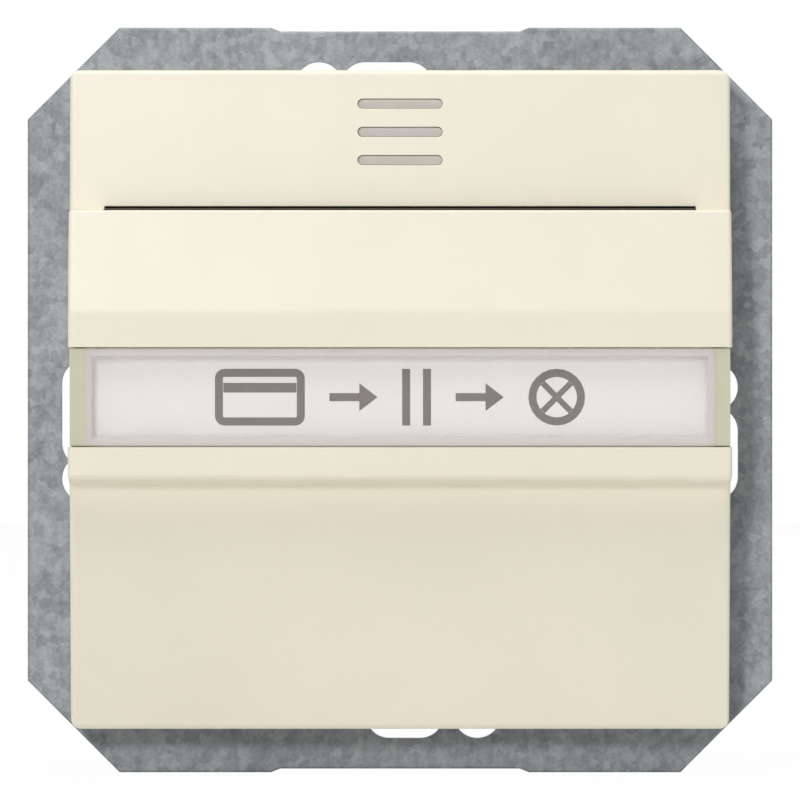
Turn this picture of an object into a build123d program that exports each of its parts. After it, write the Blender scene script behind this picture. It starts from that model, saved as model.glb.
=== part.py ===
from build123d import *
import math
import os

# Flush wall switch worked by a hotel key card. All lengths are in millimetres.
# The origin is the centre of the mounting plate's back face, on the wall.
# +Z is up and the front faces -Y. A "front" distance is measured from the wall into the room,
# so a point x, front, z of the object lies at (x, -front, z).

# Mounting plate: pressed from galvanized sheet
plate_margin = 4.5
plate_thickness = 1.0
plate_edge_bevel = 0.18
plate_corner_cut = 8.75
edge_notch_width = 22.8
edge_notch_depth = 0.35
edge_notch_slope = 0.9
box_screw_margin = 5.5
box_screw_offset = 6.0
keyhole_width = 4.5
round_hole_radius = 2.25
# Along each edge, as shares of the box screw radius: slot from, slot to, round hole
keyhole_shares = {
    "top": (-0.187, 0.104, -0.258),
    "bottom": (-0.109, 0.139, 0.246),
    "left": (-0.212, 0.128, -0.250),
    "right": (-0.319, -0.023, 0.041),
}
lug_width = 4.0
lug_thickness = 1.0
lug_foot = 1.7
lug_place_share = 0.28

# Cover: one ivory moulding with a hooded nose
cover_wall = 1.5
cover_stand_off = 0.3
cover_corner_radius = 1.0
cover_edge_radius = 0.35
bottom_edge_front = 8.2
chin_front = 10.8
chin_height = 0.6
nose_front = 14.0
nose_top = 8.4
nose_bottom = -7.4
nose_round = 0.5
crest_round = 4.0
chin_round = 0.8
lip_front = 12.45
lip_round = 0.35
lip_thickness = 0.7
slot_drop = 13.25
slot_gap = 0.45
panel_foot_front = 10.5
panel_top_front = 9.9
panel_round = 0.6
hood_roof = 1.25
cover_rib = 1.0
cover_rib_shares = (0.29, 0.66)
cover_post_radius = 1.25
cover_post_inset = 4.0
cover_post_drop = 3.0
cover_post_stand = 1.6

# Card channel behind the hood, for a card 54 wide and 0.76 thick
slot_end_wall = 3.25
channel_gap = 1.1
channel_play = 0.1
channel_lean_angle = 6.2
channel_bottom_gap = 1.3

# Lamp windows in the upper panel
window_width = 8.0
window_height = 0.95
window_count = 3
window_drop = 3.16
window_pitch = 2.655
window_fit = 0.05
light_guide_width = 9.6
light_guide_thickness = 0.9
light_guide_margin = 1.1
light_guide_recess = 0.5
light_guide_ear = 2.4
stake_radius = 0.6
stake_height = 0.35

# Label pocket across the nose
label_top_margin = 3.47
label_bottom_margin = 3.0
label_depth = 1.5
label_floor = 1.2
lens_thickness = 1.2
lens_play = 0.1
lens_side_inset = 0.2
lens_leg = 1.3
lens_leg_reach = 2.0
paper_thickness = 0.15
paper_end_gap = 2.0
paper_edge_gap = 0.465

# Insert base: the moulded block in the wall box. The plate and the cover follow its width.
base_width = 39.0
base_extra_height = 5.0
base_corner_cut = 2.5
base_opening_gap = 1.0
insert_depth = 21.0
flange_side_ledge = 2.0
flange_top_ledge = 2.5
flange_corner_cut = 3.0
flange_thickness = 1.6
flange_waist_ledge = 0.3
flange_waist_height = 10.0
pocket_height = 11.0
waist_wall = 2.0
rear_wall = 2.0
chamber_width = 22.0
chamber_height = 17.0
terminal_web = 6.8
chamber_wall = 1.6

# Insert cover: the bridge that closes the chambers and guides the plunger
bridge_side_ledge = 1.0
bridge_top_inset = 0.5
bridge_corner_cut = 2.0
bridge_thickness = 1.8
well_width = 14.4
well_height = 12.8
well_wall = 1.2
well_floor_reach = 6.0

# Card guide
guide_thickness = 1.2
guide_edge_gap = 0.3
guide_back_front = 5.8
guide_top_gap = 0.5
guide_shelf_gap = 0.2
rail_top_gap = 0.3
rail_lip_width = 1.2
rail_lip_thickness = 0.6
rail_lip_top = 4.4
rail_lip_bottom = -5.4
ledge_thickness = 1.0
leg_offset = 3.0
leg_z = 16.0
leg_width = 3.6
leg_thickness = 1.5
leg_slot_gap = 0.2
leg_reach = 1.4
guide_screw_offset = 7.5
guide_screw_drop = 1.7
guide_post_radius = 2.0

# Card flap, its pin, and the plunger that it pushes
flap_pivot_front = 6.4
flap_pivot_z = 9.5
flap_pin_radius = 0.75
running_gap = 0.04
flap_hub_radius = 1.6
flap_width = 11.0
flap_thickness = 1.6
flap_guide_gap = 0.4
flap_foot_z = -4.5
cam_width = 6.0
cam_top_z = 5.0
cam_tip_z = -0.5
cam_tip_front = 10.8
cam_tip_length = 1.0
cam_bottom_z = -3.4
cam_tip_round = 0.4
cam_window_gap = 0.5
ear_gap = 0.3
ear_thickness = 1.6
ear_margin = 1.0
flap_swing_angle = 13.0

plunger_tip_radius = 1.8
plunger_dome = 2.5
plunger_disc_radius = 4.4
plunger_disc_thickness = 1.2
plunger_nose = 2.1
stem_radius = 1.6
push_gap = 0.05
spring_wire = 0.45
spring_radius = 2.9
spring_turns = 4
spring_seat_gap = 0.05

# Rocking contact and the terminals
contact_depth = 9.6
contact_pivot_z = 6.6
contact_pin_radius = 0.7
contact_hub_radius = 1.2
contact_width = 5.0
contact_thickness = 0.8
contact_face = 1.1
contact_stud_z = -6.0
contact_foot = 1.2
stud_radius = 1.1
stud_height = 0.45
break_gap = 0.05
bar_thickness = 0.8
bar_wall_gap = 0.2
bar_side_gap = 0.8
bar_end_gap = 0.7
bar_rear_gap = 3.0
tongue_width = 4.8
tongue_clearance = 0.2
arm_height = 2.8
yoke_ear = 0.8
yoke_gap = 0.35
yoke_depth = 2.4
bar_front = -0.5
terminal_spring_thickness = 0.4
terminal_spring_gap = 1.0
terminal_spring_bend = 1.2
wire_entry = 3.2
wire_height_share = 0.3495
wire_pitch_offset = 0.5
key_end = 0.3
key_height = 3.2
key_thickness = 1.2
key_travel = 1.2
key_height_share = 0.7864
prong_width = 8.0
prong_thickness = 1.6
prong_gap = 0.2
prong_reach = 4.0

# Claws that grip the wall box, with their screws
claw_screw_offset = 4.5
claw_screw_radius = 1.7
claw_screw_hole_radius = 2.0
claw_screw_length = 15.0
claw_screw_pitch = 0.6
claw_pivot_offset = 1.6
claw_front = -6.0
claw_thickness = 1.0
claw_height = 9.6
claw_hub_radius = 1.5
claw_pin_radius = 0.8
claw_pin_seat = 2.0
claw_overhang = 3.2
claw_leg = 8.0
claw_tooth = 0.7
claw_teeth = 4
claw_hole_radius = 2.4
claw_swing_angle = 12.0
screw_head_radius = 3.2
screw_head_height = 2.0
screw_head_round = 0.5
recess_width = 0.9
recess_length = 3.8
recess_depth = 1.2

# Small screws
small_screw_radius = 1.2
small_head_radius = 2.2
small_head_height = 1.2
small_screw_gap = 0.1
guide_screw_tip = 0.8
bridge_screw_length = 9.0
small_recess_share = 0.6

# Orientation lamp
lamp_radius = 1.9
lamp_length = 10.0
lamp_front = 4.9
lamp_inset = 0.5
lamp_play = 0.05
cheek_thickness = 1.2
cheek_inset = 0.7
holder_height = 3.0
holder_spine = 0.8
holder_width = 4.6
lead_radius = 0.25
lead_bend = 1.0
lead_wall_gap = 1.2
lead_right_reach = 3.8
lead_left_gap = 2.3
lead_depth = 1.2
resistor_end_gap = 1.2
resistor_radius = 0.8
resistor_round = 0.3
resistor_gap = 2.2
lead_hole_radius = 0.6
pinch_length = 1.2
pinch_radius = 0.9

overrun = 1.0

# Places worked out from the sizes above, from the insert outwards
signs = (-1, 1)
corners = [(side, level) for side in signs for level in signs]
base_height = base_width + base_extra_height
flange_width = base_width + 2 * flange_side_ledge
flange_height = base_height + 2 * flange_top_ledge
flange_waist = base_width + 2 * flange_waist_ledge
base_waist = chamber_width + 2 * waist_wall
bridge_width = base_width + 2 * bridge_side_ledge
bridge_height = base_height - 2 * bridge_top_inset
flange_front = plate_thickness + flange_thickness
bridge_front = flange_front + bridge_thickness
rear_front = -insert_depth
chamber_rear = rear_front + rear_wall
contact_pivot_front = chamber_rear + contact_depth
well_floor_front = contact_pivot_front + well_floor_reach
terminal_inner_x = terminal_web / 2
terminal_outer_x = base_width / 2 - chamber_wall
terminal_inner_z = chamber_height / 2 + chamber_wall
terminal_outer_z = base_height / 2 - chamber_wall
bridge_screw_z = (terminal_inner_z + terminal_outer_z) / 2
bar_inner_x = terminal_inner_x + bar_side_gap
bar_width = terminal_outer_x - bar_end_gap - bar_inner_x
bar_rear_front = chamber_rear + bar_rear_gap
bar_inner_z = terminal_inner_z + bar_wall_gap
bar_outer_z = bar_inner_z + bar_thickness
wire_pitch = bar_width / 2 + wire_pitch_offset
wire_centre_z = terminal_inner_z + wire_height_share * (terminal_outer_z - terminal_inner_z)
wire_centre_x = bar_inner_x + bar_width / 2
terminal_spring_width = wire_pitch - 2 * terminal_spring_gap
key_z = terminal_inner_z + key_height_share * (terminal_outer_z - terminal_inner_z)
key_width = 2 * (wire_centre_x + prong_width / 2 + key_end)
claw_pivot_x = base_waist / 2 + claw_pivot_offset
claw_screw_x = base_width / 2 + claw_screw_offset
box_screw_radius = claw_screw_x + box_screw_offset
plate_side = 2 * (box_screw_radius + box_screw_margin)
cover_side = plate_side - 2 * plate_margin
cover_half = cover_side / 2
cover_inside = cover_half - cover_wall
cover_post_x = cover_inside - cover_post_inset
cover_post_z = cover_inside - cover_post_drop
rim_front = plate_thickness + cover_stand_off
slot_half = cover_half - slot_end_wall
slot_height = cover_half - slot_drop
panel_foot_z = slot_height + slot_gap
lean_slope = math.tan(math.radians(channel_lean_angle))
channel_bottom = channel_bottom_gap - cover_inside
window_heights = [cover_half - window_drop - place * window_pitch for place in range(window_count)]
window_middle = (window_heights[0] + window_heights[-1]) / 2
label_top = nose_top - label_top_margin
label_bottom = nose_bottom + label_bottom_margin
guide_top_z = cover_inside - guide_top_gap
guide_screw_x = cover_post_x - guide_screw_offset
guide_screw_z = guide_top_z - guide_screw_drop
leg_x = flange_width / 2 + leg_offset
lamp_z = flange_height / 2 - lamp_inset
lamp_end = lamp_length / 2 + pinch_length
lead_drop_z = terminal_outer_z - lead_wall_gap
lead_right_x = lamp_end + lead_right_reach
lead_left_x = terminal_outer_x - lead_left_gap
resistor_start = lamp_end + resistor_gap
resistor_end = lead_left_x - resistor_end_gap


def panel_front(z):
    """Front distance of the upper panel's face at height z."""
    share = (z - panel_foot_z) / (cover_half - panel_foot_z)
    return panel_foot_front + share * (panel_top_front - panel_foot_front)


def channel_back(z):
    """Front distance of the card channel's back face at height z."""
    return panel_foot_front + channel_play + (z - panel_foot_z) * lean_slope


def channel_face(z):
    """Front distance of the card channel's front face at height z."""
    return channel_back(z) + channel_gap


def block(x_low, x_high, back, front, z_low, z_high):
    """Box between two x, two front distances and two heights."""
    centre = Pos((x_low + x_high) / 2, -(back + front) / 2, (z_low + z_high) / 2)
    return centre * Box(x_high - x_low, front - back, z_high - z_low)


def prism_x(face, x_low, x_high):
    """Extrude along X a face drawn in front distance and height."""
    plane = Plane(origin=(x_high, 0, 0), x_dir=(0, -1, 0), z_dir=(-1, 0, 0))
    return extrude(plane * face, amount=x_high - x_low)


def prism_y(face, back, front):
    """Extrude towards the room a face drawn in x and height."""
    plane = Plane(origin=(0, -back, 0), x_dir=(1, 0, 0), z_dir=(0, -1, 0))
    return extrude(plane * face, amount=front - back)


def prism_z(face, z_low, z_high):
    """Extrude upwards a face drawn in x and front distance."""
    plane = Plane(origin=(0, 0, z_high), x_dir=(1, 0, 0), z_dir=(0, 0, -1))
    return extrude(plane * face, amount=z_high - z_low)


def polygon(points):
    return make_face(Polyline(*points, close=True))


def rounded_polygon(points, radii):
    """Polygon with a radius for each corner, zero where it stays sharp."""
    face = polygon(points)
    for point, radius in zip(points, radii):
        if radius > 0:
            corner = face.vertices().sort_by_distance((point[0], point[1], 0))[0]
            face = fillet(corner, radius)
    return face


def cut_rectangle(width, height, cut):
    """Rectangle with its four corners cut at 45 degrees."""
    x = width / 2
    z = height / 2
    return polygon([
        (-x + cut, z), (x - cut, z), (x, z - cut), (x, -z + cut),
        (x - cut, -z), (-x + cut, -z), (-x, -z + cut), (-x, z - cut),
    ])


def rod_x(front, z, radius, x_low, x_high):
    return prism_x(Pos(front, z) * Circle(radius), x_low, x_high)


def rod_y(x, z, radius, back, front):
    return prism_y(Pos(x, z) * Circle(radius), back, front)


def rod_z(x, front, radius, z_low, z_high):
    return prism_z(Pos(x, front) * Circle(radius), z_low, z_high)


def mirrored(shape, side):
    """The shape itself for side 1, and its mirror image in the middle plane for side -1."""
    return shape if side > 0 else mirror(shape, about=Plane.YZ)


def flipped(shape, level):
    """The shape itself for level 1, and its mirror image below the middle for level -1."""
    return shape if level > 0 else mirror(shape, about=Plane.XY)


# Mounting plate
def keyhole_sketch():
    radius = box_screw_radius
    sketch = Sketch()
    for edge, shares in keyhole_shares.items():
        slot_from, slot_to, hole = [share * radius for share in shares]
        slot = SlotOverall(slot_to - slot_from, keyhole_width)
        middle = (slot_from + slot_to) / 2
        if edge in ("top", "bottom"):
            level = radius if edge == "top" else -radius
            sketch += Pos(middle, level) * slot
            sketch += Pos(hole, level) * Circle(round_hole_radius)
        else:
            place = radius if edge == "right" else -radius
            sketch += Pos(place, middle) * Rot(0, 0, 90) * slot
            sketch += Pos(place, hole) * Circle(round_hole_radius)
    return sketch


def plate_outline():
    half = plate_side / 2
    flat = half - plate_corner_cut
    notch = edge_notch_width / 2
    upper = [
        (-half, flat), (-flat, half), (-notch - edge_notch_slope, half),
        (-notch, half - edge_notch_depth), (notch, half - edge_notch_depth),
        (notch + edge_notch_slope, half), (flat, half), (half, flat),
    ]
    lower = [(x, -z) for x, z in reversed(upper)]
    return polygon(upper + lower)


def make_mounting_plate():
    plate = prism_y(plate_outline(), 0, plate_thickness)
    plate = chamfer(plate.faces().sort_by(Axis.Y)[0].edges(), plate_edge_bevel)
    gap = base_opening_gap
    opening = cut_rectangle(base_width + 2 * gap, base_height + 2 * gap, base_corner_cut)
    plate -= prism_y(opening, -overrun, plate_thickness + overrun)
    plate -= prism_y(keyhole_sketch(), -overrun, plate_thickness + overrun)
    slot_x = leg_width / 2 + leg_slot_gap
    slot_z = leg_thickness / 2 + leg_slot_gap
    lug_z = flange_height / 2 + leg_slot_gap
    lug_x = lug_place_share * flange_width
    lug_top = flange_front + leg_slot_gap + lug_thickness
    for side, level in corners:
        x = side * leg_x
        z = level * leg_z
        plate -= block(x - slot_x, x + slot_x, -overrun, plate_thickness + overrun, z - slot_z, z + slot_z)
        upright = block(-lug_width / 2, lug_width / 2, 0, lug_top, lug_z, lug_z + lug_thickness)
        foot = block(
            -lug_width / 2, lug_width / 2, lug_top - lug_thickness, lug_top,
            lug_z - lug_foot, lug_z + lug_thickness,
        )
        plate += Pos(side * lug_x, 0, 0) * flipped(upright + foot, level)
    for side in signs:
        plate -= rod_y(side * claw_screw_x, 0, claw_screw_hole_radius, -overrun, plate_thickness + overrun)
        hole = small_screw_radius + small_screw_gap
        plate -= rod_y(side * guide_screw_x, guide_screw_z, hole, -overrun, plate_thickness + overrun)
    return plate


# Cover
def cover_profile():
    points = [
        (rim_front, -cover_half), (bottom_edge_front, -cover_half),
        (chin_front, nose_bottom - chin_height), (nose_front, nose_bottom), (nose_front, nose_top),
        (lip_front, slot_height), (panel_front(slot_height + slot_gap / 2), slot_height + slot_gap / 2),
        (panel_top_front, cover_half), (rim_front, cover_half),
    ]
    radii = [0, panel_round, chin_round, nose_round, crest_round, lip_round, 0, panel_round, 0]
    return rounded_polygon(points, radii)


def cover_cavity():
    roof = slot_height - hood_roof
    wall = cover_wall
    floor_front = nose_front - label_depth - label_floor
    return polygon([
        (rim_front - overrun, -cover_inside),
        (bottom_edge_front - wall + (chin_front - bottom_edge_front) * wall / cover_half, -cover_inside),
        (chin_front - wall, nose_bottom - chin_height),
        (floor_front, nose_bottom + wall), (floor_front, nose_top - wall),
        (lip_front - lip_thickness, roof), (panel_foot_front - wall, roof),
        (panel_foot_front - wall, panel_foot_z), (panel_front(cover_inside) - wall, cover_inside),
        (rim_front - overrun, cover_inside),
    ])


def cover_slot():
    """The card slot through the step, between the hood's lip and the upper panel's foot."""
    roof = slot_height - hood_roof - channel_play
    back = panel_foot_front - cover_wall
    lip_back = lip_front - lip_thickness
    return polygon([
        (back, roof), (lip_back, roof), (lip_back, slot_height), (lip_front + overrun, slot_height),
        (lip_front + overrun, panel_foot_z), (back, panel_foot_z),
    ])


def cover_rib_face():
    """A rib inside the hood whose back edge lies along the card channel's front face."""
    top = slot_height - hood_roof
    low = channel_bottom
    joint = label_floor / 2
    return polygon([
        (channel_face(low) + channel_play, low),
        (chin_front - cover_wall + joint, nose_bottom - chin_height),
        (nose_front - label_depth - joint, nose_bottom + cover_wall),
        (nose_front - label_depth - joint, nose_top - cover_wall),
        (lip_front - lip_thickness + joint / 2, top), (channel_face(top) + channel_play, top),
    ])


def label_pocket():
    reach = cover_half + overrun
    floor = nose_front - label_depth
    pocket = block(-reach, reach, floor, nose_front + overrun, label_bottom, label_top)
    leg_back = nose_front - label_depth - lens_leg_reach
    leg_inner = cover_half - lens_side_inset - lens_leg - lens_play
    for side in signs:
        notch = block(leg_inner, reach, leg_back, nose_front + overrun, label_bottom, label_top)
        pocket += mirrored(notch, side)
    return pocket


def make_cover():
    outline = RectangleRounded(cover_side, cover_side, cover_corner_radius)
    outer = prism_x(cover_profile(), -cover_half, cover_half)
    margin = cover_edge_radius / 2
    ends = outer.edges().filter_by(lambda edge: abs(abs(edge.center().X) - cover_half) < margin)
    rims = [edge for edge in ends if edge.center().Y > -rim_front - margin]
    ends = [edge for edge in ends if edge not in rims]
    outer = fillet(ends, cover_edge_radius) & prism_y(outline, 0, nose_front + overrun)
    cover = outer - prism_x(cover_cavity(), -cover_inside, cover_inside)
    rib_face = cover_rib_face()
    for share in cover_rib_shares:
        for side in signs:
            x = side * share * slot_half
            cover += prism_x(rib_face, x - cover_rib / 2, x + cover_rib / 2)
    cover -= prism_x(cover_slot(), -slot_half, slot_half)
    cover -= label_pocket()
    for height in window_heights:
        window = Pos(0, height) * SlotOverall(window_width, window_height)
        cover -= prism_y(window, panel_foot_front - cover_wall - overrun, panel_foot_front + overrun)
    stake_x = light_guide_width / 2 + light_guide_ear / 2
    for side in signs:
        post_tip = plate_thickness + cover_post_stand
        post_root = panel_front(cover_post_z) - cover_wall / 2
        cover += rod_y(side * cover_post_x, cover_post_z, cover_post_radius, post_tip, post_root)
        stake_tip = light_guide_back() - stake_height
        stake_root = panel_front(window_middle) - cover_wall / 2
        cover += rod_y(side * stake_x, window_middle, stake_radius, stake_tip, stake_root)
    return cover


def light_guide_back():
    return panel_front(cover_inside) - cover_wall - light_guide_thickness - window_fit


def make_light_guide():
    back = light_guide_back()
    front = back + light_guide_thickness
    low = window_heights[-1] - light_guide_margin
    high = window_heights[0] + light_guide_margin
    half = light_guide_width / 2
    guide = block(-half, half, back, front, low, high)
    ear_half = half + light_guide_ear
    middle = window_middle
    ear_rise = light_guide_ear / 2
    guide += block(-ear_half, ear_half, back, front, middle - ear_rise, middle + ear_rise)
    for side in signs:
        x = side * (half + light_guide_ear / 2)
        guide -= rod_y(x, middle, stake_radius + window_fit, back - overrun, front + overrun)
    for height in window_heights:
        rib = SlotOverall(window_width - 2 * window_fit, window_height - 2 * window_fit)
        guide += prism_y(Pos(0, height) * rib, back, panel_front(height) - light_guide_recess)
    return guide


def make_label_window():
    x = cover_half - lens_side_inset
    back = nose_front - label_depth + paper_thickness + lens_play / 2
    front = back + lens_thickness
    low = label_bottom + lens_play
    high = label_top - lens_play
    window = block(-x, x, back, front, low, high)
    leg_back = nose_front - label_depth - lens_leg_reach + lens_play
    for side in signs:
        window += mirrored(block(x - lens_leg, x, leg_back, front, low, high), side)
    rim_edges = window.edges().filter_by(Axis.X).sort_by(Axis.Y)[:2]
    return fillet(rim_edges, lens_play * 2)


def make_label_strip():
    back = nose_front - label_depth
    half = cover_half - paper_end_gap
    return block(
        -half, half, back, back + paper_thickness,
        label_bottom + paper_edge_gap, label_top - paper_edge_gap,
    )


# Insert base
def make_insert_base():
    base = prism_y(cut_rectangle(base_width, base_height, base_corner_cut), rear_front, flange_front)
    flange = cut_rectangle(flange_width, flange_height, flange_corner_cut)
    base += prism_y(flange, plate_thickness, flange_front)
    waist_half = base_waist / 2
    reach = flange_width / 2 + overrun
    prong = prong_thickness / 2 + prong_gap
    prong_half = prong_width / 2 + prong_gap
    for side in signs:
        pocket = block(
            waist_half, reach, rear_front - overrun, plate_thickness,
            -pocket_height / 2, pocket_height / 2,
        )
        base -= mirrored(pocket, side)
        notch = block(
            flange_waist / 2, reach, plate_thickness - overrun, flange_front + overrun,
            -flange_waist_height / 2, flange_waist_height / 2,
        )
        base -= mirrored(notch, side)
        pin_reach = pocket_height / 2 + claw_pin_seat
        base -= rod_z(side * claw_pivot_x, claw_front, claw_pin_radius, -pin_reach, pin_reach)
    base -= block(
        -chamber_width / 2, chamber_width / 2, chamber_rear, flange_front + overrun,
        -chamber_height / 2, chamber_height / 2,
    )
    for side, level in corners:
        x = side * wire_centre_x
        chamber = block(
            terminal_inner_x, terminal_outer_x, chamber_rear, flange_front + overrun,
            terminal_inner_z, terminal_outer_z,
        )
        base -= flipped(mirrored(chamber, side), level)
        for step in signs:
            entry_x = x + step * wire_pitch / 2
            entry_z = level * wire_centre_z
            half = wire_entry / 2
            base -= block(
                entry_x - half, entry_x + half, rear_front - overrun, chamber_rear + overrun,
                entry_z - half, entry_z + half,
            )
        base -= block(
            x - prong_half, x + prong_half, rear_front - overrun, chamber_rear + overrun,
            level * key_z - prong, level * key_z + prong,
        )
        tongue = tongue_notch(tongue_backs[(side, level)])
        base -= flipped(mirrored(tongue, side), level)
    for level in signs:
        depth = flange_front - bridge_screw_length + bridge_thickness - overrun
        base -= rod_y(0, level * bridge_screw_z, small_screw_radius, depth, flange_front + overrun)
    return base


def tongue_notch(back):
    """Notch in the wall between the middle chamber and a terminal chamber, open at the front."""
    return block(
        bar_inner_x - tongue_clearance, bar_inner_x + tongue_width + tongue_clearance,
        back - tongue_clearance, flange_front + overrun,
        chamber_height / 2 - overrun, terminal_inner_z + overrun,
    )


# Insert cover
def make_insert_cover():
    outline = cut_rectangle(bridge_width, bridge_height, bridge_corner_cut)
    bridge = prism_y(outline, flange_front, bridge_front)
    reach = bridge_width / 2 + overrun
    for side in signs:
        notch = block(
            flange_waist / 2, reach, flange_front - overrun, bridge_front + overrun,
            -flange_waist_height / 2, flange_waist_height / 2,
        )
        bridge -= mirrored(notch, side)
    outer_x = well_width / 2 + well_wall
    outer_z = well_height / 2 + well_wall
    floor_back = well_floor_front - well_wall
    bridge += block(-outer_x, outer_x, floor_back, flange_front + bridge_thickness / 2, -outer_z, outer_z)
    bridge -= block(
        -well_width / 2, well_width / 2, well_floor_front, bridge_front + overrun,
        -well_height / 2, well_height / 2,
    )
    bridge -= rod_y(0, 0, stem_radius + running_gap, floor_back - overrun, well_floor_front + overrun)
    for level in signs:
        hole = small_screw_radius + small_screw_gap
        bridge -= rod_y(0, level * bridge_screw_z, hole, flange_front - overrun, bridge_front + overrun)
        seat = small_head_radius + small_screw_gap
        seat_back = bridge_front - small_head_height
        bridge -= rod_y(0, level * bridge_screw_z, seat, seat_back, bridge_front + overrun)
    for x in (lead_right_x, -lead_left_x):
        bridge -= rod_y(x, lead_drop_z, lead_hole_radius, flange_front - overrun, bridge_front + overrun)
    return bridge


# Card guide
def guide_plate_face():
    """The leaning back of the card channel with its ledge below and its shelf above."""
    low = channel_bottom - ledge_thickness
    top = panel_foot_z - guide_shelf_gap
    shelf = top - guide_thickness
    back = guide_back_front
    plate = back + guide_thickness
    return polygon([
        (channel_back(low) - guide_thickness, low), (channel_face(low), low),
        (channel_face(channel_bottom), channel_bottom), (channel_back(channel_bottom), channel_bottom),
        (channel_back(top), top), (plate, top), (plate, top + overrun), (back, top + overrun),
        (back, shelf), (channel_back(shelf) - guide_thickness, shelf),
    ])


def flap_back(z):
    """Front distance of the flap's back face at rest."""
    return channel_back(z) - guide_thickness - flap_guide_gap - flap_thickness


def make_card_guide():
    guide = prism_x(guide_plate_face(), -slot_half + channel_play, slot_half - channel_play)
    top = panel_foot_z - guide_shelf_gap
    back = guide_back_front
    front = back + guide_thickness
    width = cover_inside - 3 * guide_edge_gap
    guide += block(-width, width, back, front, top - guide_thickness, guide_top_z)
    rail_outer = cover_inside - guide_edge_gap
    rail_top = slot_height - hood_roof - rail_top_gap
    low = channel_bottom - ledge_thickness
    rail = polygon([
        (channel_back(low) - guide_thickness, low), (channel_face(low), low),
        (channel_face(rail_top), rail_top), (channel_back(rail_top) - guide_thickness, rail_top),
    ])
    lip = polygon([
        (channel_face(rail_lip_bottom), rail_lip_bottom),
        (channel_face(rail_lip_bottom) + rail_lip_thickness, rail_lip_bottom),
        (channel_face(rail_lip_top) + rail_lip_thickness, rail_lip_top),
        (channel_face(rail_lip_top), rail_lip_top),
    ])
    for side in signs:
        guide += mirrored(prism_x(rail, slot_half - channel_play, rail_outer), side)
        guide += mirrored(prism_x(lip, slot_half - rail_lip_width, rail_outer), side)
        post = rod_y(guide_screw_x, guide_screw_z, guide_post_radius, plate_thickness, front)
        guide += mirrored(post, side)
        bore = small_screw_radius + small_screw_gap
        guide -= rod_y(side * guide_screw_x, guide_screw_z, bore, 0, front + overrun)
        socket = cover_post_radius + small_screw_gap
        guide -= rod_y(side * cover_post_x, cover_post_z, socket, 0, front + overrun)
    for side, level in corners:
        z = level * leg_z
        leg_root = channel_back(z) - guide_thickness / 2
        leg = block(
            leg_x - leg_width / 2, leg_x + leg_width / 2, -leg_reach, leg_root,
            z - leg_thickness / 2, z + leg_thickness / 2,
        )
        guide += mirrored(leg, side)
    ear = polygon([
        (flap_pivot_front - flap_hub_radius, flap_pivot_z - flap_hub_radius - ear_margin),
        (channel_back(flap_pivot_z) - guide_thickness / 2, flap_pivot_z - flap_hub_radius - ear_margin),
        (channel_back(flap_pivot_z) - guide_thickness / 2, flap_pivot_z + flap_hub_radius + ear_margin),
        (flap_pivot_front - flap_hub_radius, flap_pivot_z + flap_hub_radius),
    ])
    ear_inner = flap_width / 2 + ear_gap
    for side in signs:
        guide += mirrored(prism_x(ear, ear_inner, ear_inner + ear_thickness), side)
    pin_reach = ear_inner + ear_thickness
    guide -= rod_x(flap_pivot_front, flap_pivot_z, flap_pin_radius, -pin_reach, pin_reach)
    cam_half = cam_width / 2 + cam_window_gap
    window_low = cam_bottom_z - cam_window_gap
    window_high = cam_top_z + cam_window_gap
    guide -= block(-cam_half, cam_half, flap_back(window_low), cam_tip_front, window_low, window_high)
    lamp_low = window_heights[-1] - light_guide_margin
    lamp_high = lamp_z + lamp_radius + light_guide_margin
    lamp_half = lamp_length / 2 + light_guide_margin
    guide -= block(-lamp_half, lamp_half, back - overrun, front + overrun, lamp_low, lamp_high)
    return guide


# Card flap
def make_card_flap():
    gap = guide_thickness + flap_guide_gap
    face = polygon([
        (flap_back(flap_foot_z), flap_foot_z), (channel_back(flap_foot_z) - gap, flap_foot_z),
        (channel_back(cam_bottom_z) - gap, cam_bottom_z), (cam_tip_front, cam_tip_z - cam_tip_length),
        (cam_tip_front, cam_tip_z), (channel_back(cam_top_z) - gap, cam_top_z),
        (flap_pivot_front + flap_hub_radius / 2, flap_pivot_z), (flap_back(flap_pivot_z), flap_pivot_z),
    ])
    plate = polygon([
        (flap_back(flap_foot_z), flap_foot_z), (channel_back(flap_foot_z) - gap, flap_foot_z),
        (channel_back(cam_top_z) - gap, cam_top_z),
        (flap_pivot_front + flap_hub_radius / 2, flap_pivot_z), (flap_back(flap_pivot_z), flap_pivot_z),
    ])
    half = flap_width / 2
    flap = prism_x(plate, -half, half)
    cam = prism_x(face, -cam_width / 2, cam_width / 2)
    tips = cam.edges().filter_by(Axis.X).sort_by(Axis.Y)[:2]
    flap += fillet(tips, cam_tip_round)
    flap += rod_x(flap_pivot_front, flap_pivot_z, flap_hub_radius, -half, half)
    bore = flap_pin_radius + running_gap
    flap -= rod_x(flap_pivot_front, flap_pivot_z, bore, -half - overrun, half + overrun)
    return flap


def make_flap_pin():
    reach = flap_width / 2 + ear_gap + ear_thickness
    return rod_x(flap_pivot_front, flap_pivot_z, flap_pin_radius, -reach, reach)


# The push from the flap to the plunger and on to the rocking contact
def plunger_apex(swing):
    """Front distance of the plunger's domed tip when the flap stands at a swing in degrees."""
    lean = math.radians(channel_lean_angle + swing)
    drop = flap_pivot_front - flap_back(flap_pivot_z)
    height = flap_pivot_z
    depth = drop * math.cos(math.radians(channel_lean_angle)) / math.cos(lean)
    face = flap_pivot_front - height * math.tan(lean) - depth
    return face - plunger_dome * (1 / math.cos(lean) - 1)


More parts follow.
